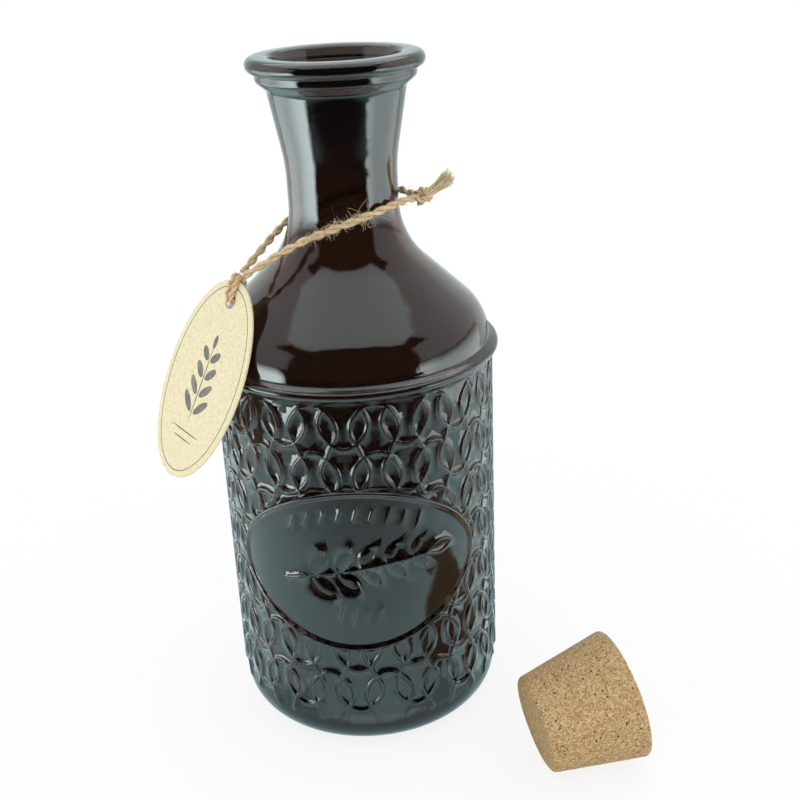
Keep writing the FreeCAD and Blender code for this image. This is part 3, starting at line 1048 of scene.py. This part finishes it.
def neck_twine(jute, hair_jute):
    """The two strands round the neck, their knot and frayed end, and the loose fibres."""
    strands = []
    hairs = []
    plans = [
        ("twine_front_cord", FRONT_ROUTE, "twine_front_strand", 0.0),
        ("twine_back_cord", BACK_ROUTE, "twine_back_strand", 1.0),
    ]
    for name, route, node, turn in plans:
        line = even_line(route_line(route), STRAND_STEP)
        yarns = ply_lines(line, TWINE_D * MM, STRAND_PITCH, turn)
        mesh = lines_mesh(name, yarns, TWINE_D * MM * YARN_R_SHARE)
        cord = mesh_piece(name, mesh, jute, "twine")
        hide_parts(node)
        strands.append((cord, line))
    front_line = strands[0][1]
    back_line = strands[1][1]
    reach = TWINE_D * MM * HAIR_REACH
    for plan in FRONT_HAIRS:
        hairs += twine_hairs(front_line, *plan, reach)
    hairs += twine_hairs(back_line, *BACK_HAIRS, reach)
    wound = knot_line()
    hairs += twine_hairs(wound, *KNOT_HAIRS, reach * 0.8)
    yarns = ply_lines(wound, KNOT_TWINE_D * MM, KNOT_PITCH)
    knot_mesh = lines_mesh("twine_knot_wraps", yarns, KNOT_TWINE_D * MM * YARN_R_SHARE)
    knot = mesh_piece("twine_knot_wraps", knot_mesh, jute, "twine")
    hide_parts("twine_knot")
    tassel_mesh = lines_mesh("twine_frayed_end", tassel_lines(), FIBRE_R * MM, 0.6)
    tassel = mesh_piece("twine_frayed_end", tassel_mesh, hair_jute, "twine")
    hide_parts("twine_tassel")
    fuzz_mesh = lines_mesh("twine_fuzz", hairs, HAIR_R * MM, 0.6)
    fuzz = mesh_piece("twine_fuzz", fuzz_mesh, hair_jute, "twine")


# Swing tag

def tag_place():
    """Matrix that carries the tag from its own plane, hole at the origin, to its place."""
    out = Vector((math.sin(TAG_AZIMUTH), -math.cos(TAG_AZIMUTH), 0))
    along = Vector((math.cos(TAG_AZIMUTH), math.sin(TAG_AZIMUTH), 0))
    up = Vector((0, 0, 1))
    front = out * math.cos(TAG_LEAN) + up * math.sin(TAG_LEAN)
    fall = out * math.sin(TAG_LEAN) - up * math.cos(TAG_LEAN)
    touch = out * (LEDGE_R - LEDGE_EDGE_R) + up * (LEDGE_TOP_Z - LEDGE_EDGE_R)
    touch += front * (LEDGE_EDGE_R + TAG_LEDGE_GAP + TAG_THICK / 2)
    hole = touch - fall * TAG_HOLE_UP + along * TAG_HOLE_ALONG
    down = fall * math.cos(TAG_ROLL) - along * math.sin(TAG_ROLL)
    side = along * math.cos(TAG_ROLL) + fall * math.sin(TAG_ROLL)
    turn = Matrix((down, side, front)).transposed().to_4x4()
    return Matrix.Scale(MM, 4) @ Matrix.Translation(hole) @ turn


def oval_loop(bm, half_len, half_w, x, z, segments):
    """Edges of an oval about a point of the tag's plane."""
    made = bmesh.ops.create_circle(bm, segments=segments, radius=1)["verts"]
    bmesh.ops.scale(bm, vec=(half_len, half_w, 1), verts=made)
    bmesh.ops.translate(bm, vec=(x, 0, z), verts=made)
    return list({e for v in made for e in v.link_edges})


def swing_tag(card, ink):
    """Oval card with its punched hole, and a generic sprig printed on it."""
    place = tag_place()
    middle = TAG_HALF_LEN - TAG_HOLE_INSET
    segments = 128
    bm = bmesh.new()
    rim = oval_loop(bm, TAG_HALF_LEN, TAG_HALF_W, middle, -TAG_THICK / 2, segments)
    hole = oval_loop(bm, TAG_HOLE_R, TAG_HOLE_R, 0, -TAG_THICK / 2, segments)
    bmesh.ops.bridge_loops(bm, edges=rim + hole)
    made = bmesh.ops.extrude_face_region(bm, geom=bm.faces[:])
    lifted = [v for v in made["geom"] if isinstance(v, bmesh.types.BMVert)]
    bmesh.ops.translate(bm, vec=(0, 0, TAG_THICK), verts=lifted)
    bmesh.ops.recalc_face_normals(bm, faces=bm.faces)
    sharp = [e for e in bm.edges if len(e.link_faces) == 2 and e.calc_face_angle() > 1]
    bmesh.ops.bevel(bm, geom=sharp, offset=0.14, affect="EDGES", segments=2, profile=0.5, material=-1)
    bmesh.ops.transform(bm, matrix=place, verts=bm.verts)
    tag = add_piece("tag_card", bm, card, "tag", smooth=False)
    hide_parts("swing_tag")

    bm = bmesh.new()
    top = TAG_THICK / 2 + PRINT_GAP
    inset = PRINT_INSET + PRINT_LINE_W
    outer = oval_loop(bm, TAG_HALF_LEN - PRINT_INSET, TAG_HALF_W - PRINT_INSET, middle, top, segments)
    inner = oval_loop(bm, TAG_HALF_LEN - inset, TAG_HALF_W - inset, middle, top, segments)
    bmesh.ops.bridge_loops(bm, edges=outer + inner)
    sprig_leaves(bm, middle, top)
    made = bmesh.ops.extrude_face_region(bm, geom=bm.faces[:])
    lifted = [v for v in made["geom"] if isinstance(v, bmesh.types.BMVert)]
    bmesh.ops.translate(bm, vec=(0, 0, PRINT_THICK), verts=lifted)
    bmesh.ops.recalc_face_normals(bm, faces=bm.faces)
    bmesh.ops.transform(bm, matrix=place, verts=bm.verts)
    add_piece("tag_print", bm, ink, "tag", smooth=False)


def sprig_leaves(bm, middle, z):
    """Flat leaves in pairs up a stem, across the middle of the card."""
    for i in range(PRINT_PAIRS):
        for hand in (-1, 1):
            along = middle + PRINT_FIRST - PRINT_STEP * i
            aside = hand * (PRINT_ASIDE - 0.4 * i)
            half_len = PRINT_LEAF_HALF_LEN - 0.45 * i
            add_leaf(bm, along, aside, hand * PRINT_LEAF_TURN, half_len, PRINT_LEAF_HALF_W, z)
    add_leaf(bm, middle - 13.4, 0, math.pi / 2, 2.5, 1.05, z)
    add_leaf(bm, middle + 2.4, 0, math.pi / 2, 13.6, 0.27, z)
    for x, wide in PRINT_STROKES:
        add_leaf(bm, middle + x, 0, 0, wide, PRINT_STROKE_HALF_W, z)


def add_leaf(bm, x, y, turn, half_len, half_w, z):
    """One flat leaf or stroke, lying across the card before it is turned."""
    made = bmesh.ops.create_circle(bm, cap_ends=True, segments=20, radius=1)["verts"]
    bmesh.ops.scale(bm, vec=(half_w, half_len, 1), verts=made)
    bmesh.ops.rotate(bm, verts=made, cent=(0, 0, 0), matrix=Matrix.Rotation(turn, 3, "Z"))
    bmesh.ops.translate(bm, vec=(x, y, z), verts=made)


def hitch_lines():
    """Closed loops through the hole and over the card's top edge, in the tag's own plane."""
    bend = TAG_THICK / 2 + HITCH_GAP + HITCH_D / 2
    low = -bend
    top = -TAG_HOLE_INSET
    loops = []
    for hand in (-1, 1):
        points = []
        for i in range(13):
            angle = -math.pi / 2 + math.pi * i / 12
            points.append((low + bend * math.cos(angle), bend * math.sin(angle)))
        for i in range(13):
            angle = math.pi / 2 + math.pi * i / 12
            points.append((top + bend * math.cos(angle), bend * math.sin(angle)))
        points.append(points[0])
        line = []
        for x, z in points:
            fan = 0.42 + 0.075 * (-x)
            line.append(Vector((x, hand * HITCH_D * min(fan, 0.62), z)))
        loops.append(line)
    return loops


def tag_hitch(jute, hair_jute):
    """The twine's hitch on the tag."""
    place = tag_place()
    yarns = []
    hairs = []
    for loop in hitch_lines():
        line = even_line([place @ p for p in loop], HITCH_STEP)
        yarns += ply_lines(line, HITCH_D * MM, HITCH_PITCH)
        hairs += twine_hairs(line, *HITCH_HAIRS, HITCH_D * MM * HAIR_REACH)
    mesh = lines_mesh("tag_hitch_loops", yarns, HITCH_D * MM * YARN_R_SHARE)
    hitch = mesh_piece("tag_hitch_loops", mesh, jute, "tag")
    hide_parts("tag_hitch")
    fuzz = lines_mesh("tag_hitch_fuzz", hairs, HITCH_HAIR_R * MM, 0.5)
    mesh_piece("tag_hitch_fuzz", fuzz, hair_jute, "tag")


# Cork

def tapered_cork(cork):
    """Tapered cork with worn edges and small pits, lying on its side."""
    side_low = (CORK_SMALL_R, 0)
    side_top = (CORK_LARGE_R, CORK_LEN)
    low_edge = rounded(side_low, (0, 0), side_top, CORK_EDGE_R, 5)
    top_edge = rounded(side_top, side_low, (0, CORK_LEN), CORK_EDGE_R, 5)
    points = [(0, 0)] + between((0, 0), low_edge[0], 9) + low_edge
    points += between(low_edge[-1], top_edge[0], 30) + top_edge
    points += between(top_edge[-1], (0, CORK_LEN), 11) + [(0, CORK_LEN)]
    bm = bmesh.new()
    verts = [bm.verts.new((r, 0, z)) for r, z in points]
    edges = [bm.edges.new(pair) for pair in zip(verts, verts[1:])]
    bmesh.ops.spin(
        bm, geom=verts + edges, cent=(0, 0, 0), axis=(0, 0, 1),
        angle=FULL_TURN, steps=120, use_merge=True,
    )
    bmesh.ops.remove_doubles(bm, verts=bm.verts, dist=0.001)
    bmesh.ops.recalc_face_normals(bm, faces=bm.faces)
    bm.normal_update()
    for vert in bm.verts:
        rough = noise.noise(vert.co * 0.75)
        pit = max(0.0, noise.noise(vert.co * 0.42 + Vector((9, 3, 5))) - CORK_PIT_LEVEL)
        vert.co -= vert.normal * (CORK_WEAR + CORK_ROUGH * rough + CORK_PIT_DEPTH * pit)
    lie = Matrix.Rotation(math.pi / 2 - flare, 4, "Y")
    turn = Matrix.Rotation(CORK_HEADING, 4, "Z")
    move = Matrix.Translation((*CORK_AT, CORK_SMALL_R * math.cos(flare)))
    bmesh.ops.transform(bm, matrix=Matrix.Scale(MM, 4) @ move @ turn @ lie, verts=bm.verts)
    piece = add_piece("cork_body", bm, cork, "stopper")
    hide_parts("cork_stopper")


# Stage and light

def stage_card(name, corners, strengths, colour):
    """A card that only reflections see, with a brightness at each corner."""
    bm = bmesh.new()
    bm.faces.new([bm.verts.new(c) for c in corners])
    mesh = bpy.data.meshes.new(name)
    bm.to_mesh(mesh)
    bm.free()
    bright = mesh.attributes.new("brightness", "FLOAT", "POINT")
    for mark, strength in zip(bright.data, strengths):
        mark.value = strength
    card = bpy.data.objects.new(name, mesh)
    scene.collection.objects.link(card)
    card.visible_camera = False
    card.visible_diffuse = False
    card.visible_transmission = False
    card.visible_shadow = False
    material = bpy.data.materials.new(name)
    material.use_nodes = True
    nodes = material.node_tree.nodes
    nodes.remove(nodes["Principled BSDF"])
    glow = nodes.new("ShaderNodeEmission")
    glow.inputs["Color"].default_value = (*colour, 1)
    level_mark = nodes.new("ShaderNodeAttribute")
    level_mark.attribute_name = "brightness"
    material.node_tree.links.new(level_mark.outputs["Fac"], glow.inputs["Strength"])
    material.node_tree.links.new(glow.outputs["Emission"], nodes["Material Output"].inputs["Surface"])
    mesh.materials.append(material)


def upright(x0, y0, x1, y1, low, top):
    """Corners of a standing card."""
    return [(x0, y0, low), (x1, y1, low), (x1, y1, top), (x0, y0, top)]


def even(strength):
    """The same brightness at all four corners."""
    return (strength, strength, strength, strength)


def level(x0, y0, x1, y1, z):
    """Corners of a lying card."""
    return [(x0, y0, z), (x1, y0, z), (x1, y1, z), (x0, y1, z)]


def stage_floor():
    """White table that runs out to a white background."""
    bm = bmesh.new()
    bmesh.ops.create_circle(bm, cap_ends=True, segments=96, radius=3.0)
    mesh = bpy.data.meshes.new("floor")
    bm.to_mesh(mesh)
    bm.free()
    floor = bpy.data.objects.new("floor", mesh)
    scene.collection.objects.link(floor)
    floor.location.z = -0.0002
    material, nodes, links, shader = new_material("floor_white")
    shader.inputs["Base Color"].default_value = (0.95, 0.95, 0.95, 1)
    shader.inputs["Roughness"].default_value = 0.9
    shader.inputs["Specular IOR Level"].default_value = 0.0
    white = nodes.new("ShaderNodeEmission")
    path = nodes.new("ShaderNodeLightPath")
    share = nodes.new("ShaderNodeMath")
    share.operation = "MULTIPLY"
    share.inputs[1].default_value = FLOOR_WHITE_SHARE
    mix = nodes.new("ShaderNodeMixShader")
    links.new(path.outputs["Is Camera Ray"], share.inputs[0])
    links.new(share.outputs["Value"], mix.inputs["Fac"])
    links.new(shader.outputs["BSDF"], mix.inputs[1])
    links.new(white.outputs["Emission"], mix.inputs[2])
    links.new(mix.outputs["Shader"], nodes["Material Output"].inputs["Surface"])
    floor.data.materials.append(material)
    floor.visible_glossy = False


def light_stage():
    """White tent: bright side walls, a softer ceiling and a dark opening at the front."""
    world = bpy.data.worlds.new("world")
    world.use_nodes = True
    nodes = world.node_tree.nodes
    nodes["Background"].inputs["Color"].default_value = (1, 1, 1, 1)
    nodes["Background"].inputs["Strength"].default_value = WORLD_GLOW
    scene.world = world
    front = upright(-ROOM_HALF_W, -ROOM_END, ROOM_HALF_W, -ROOM_END, -ROOM_END, ROOF_Z)
    roof = level(-ROOM_HALF_W, -ROOM_END, ROOM_HALF_W, ROOF_BACK, ROOF_Z)
    back = upright(ROOM_HALF_W, ROOM_END, -ROOM_HALF_W, ROOM_END, -ROOM_END, ROOM_END)
    stage_card("front_opening", front, even(DARK_GLOW), DARK_TINT)
    stage_card("front_roof", roof, even(DARK_GLOW), DARK_TINT)
    stage_card("back_wall", back, even(1.0), TENT_TINT)
    for name, y0, y1, from_bright, to_bright in TABLE_CARDS:
        corners = level(-TABLE_HALF_W, y0, TABLE_HALF_W, y1, TABLE_CARD_Z)
        stage_card(name, corners, (from_bright, from_bright, to_bright, to_bright), TABLE_TINT)
    table_front = level(-ROOM_HALF_W, -ROOM_END, ROOM_HALF_W, TABLE_FRONT, TABLE_CARD_Z - 0.0001)
    stage_card("table_front", table_front, even(DARK_GLOW), DARK_TINT)
    shade = level(-SHADE_HALF_W, -SHADE_HALF_W, SHADE_HALF_W, SHADE_HALF_W, TABLE_CARD_Z + 0.0001)
    stage_card("table_shade", shade, even(SHADE_GLOW), TABLE_TINT)
    for side, places in ((-1, LEFT_WALL), (1, RIGHT_WALL)):
        for i, ((y0, from_bright), (y1, to_bright)) in enumerate(zip(places, places[1:])):
            lower = upright(WALL_X * side, y0, WALL_X * side, y1, WALL_LOW, WALL_FADE)
            upper = upright(WALL_X * side, y0, WALL_X * side, y1, WALL_FADE, WALL_TOP)
            along = (from_bright, to_bright, to_bright, from_bright)
            stage_card(f"wall_{side}_{i}", lower, along, TENT_TINT)
            stage_card(f"wall_{side}_{i}_fade", upper, (from_bright, to_bright, 0, 0), TENT_TINT)
    stage_card("ceiling", level(-0.45, -0.40, 0.45, 0.6, 0.75), (1.7, 1.7, 3.2, 3.2), TENT_TINT)


set_camera()
scene.view_settings.view_transform = "Standard"
stage_floor()
light_stage()
jute = jute_twine("jute", (0.44, 0.30, 0.15), (0.70, 0.52, 0.29), (0.86, 0.71, 0.46))
hair_jute = jute_twine("jute_hair", (0.55, 0.42, 0.23), (0.74, 0.61, 0.38), (0.86, 0.77, 0.56))
neck_twine(jute, hair_jute)
tag_hitch(jute, hair_jute)
swing_tag(kraft_card(), tag_ink())
tapered_cork(granulated_cork())
glass_bottle(amber_glass())
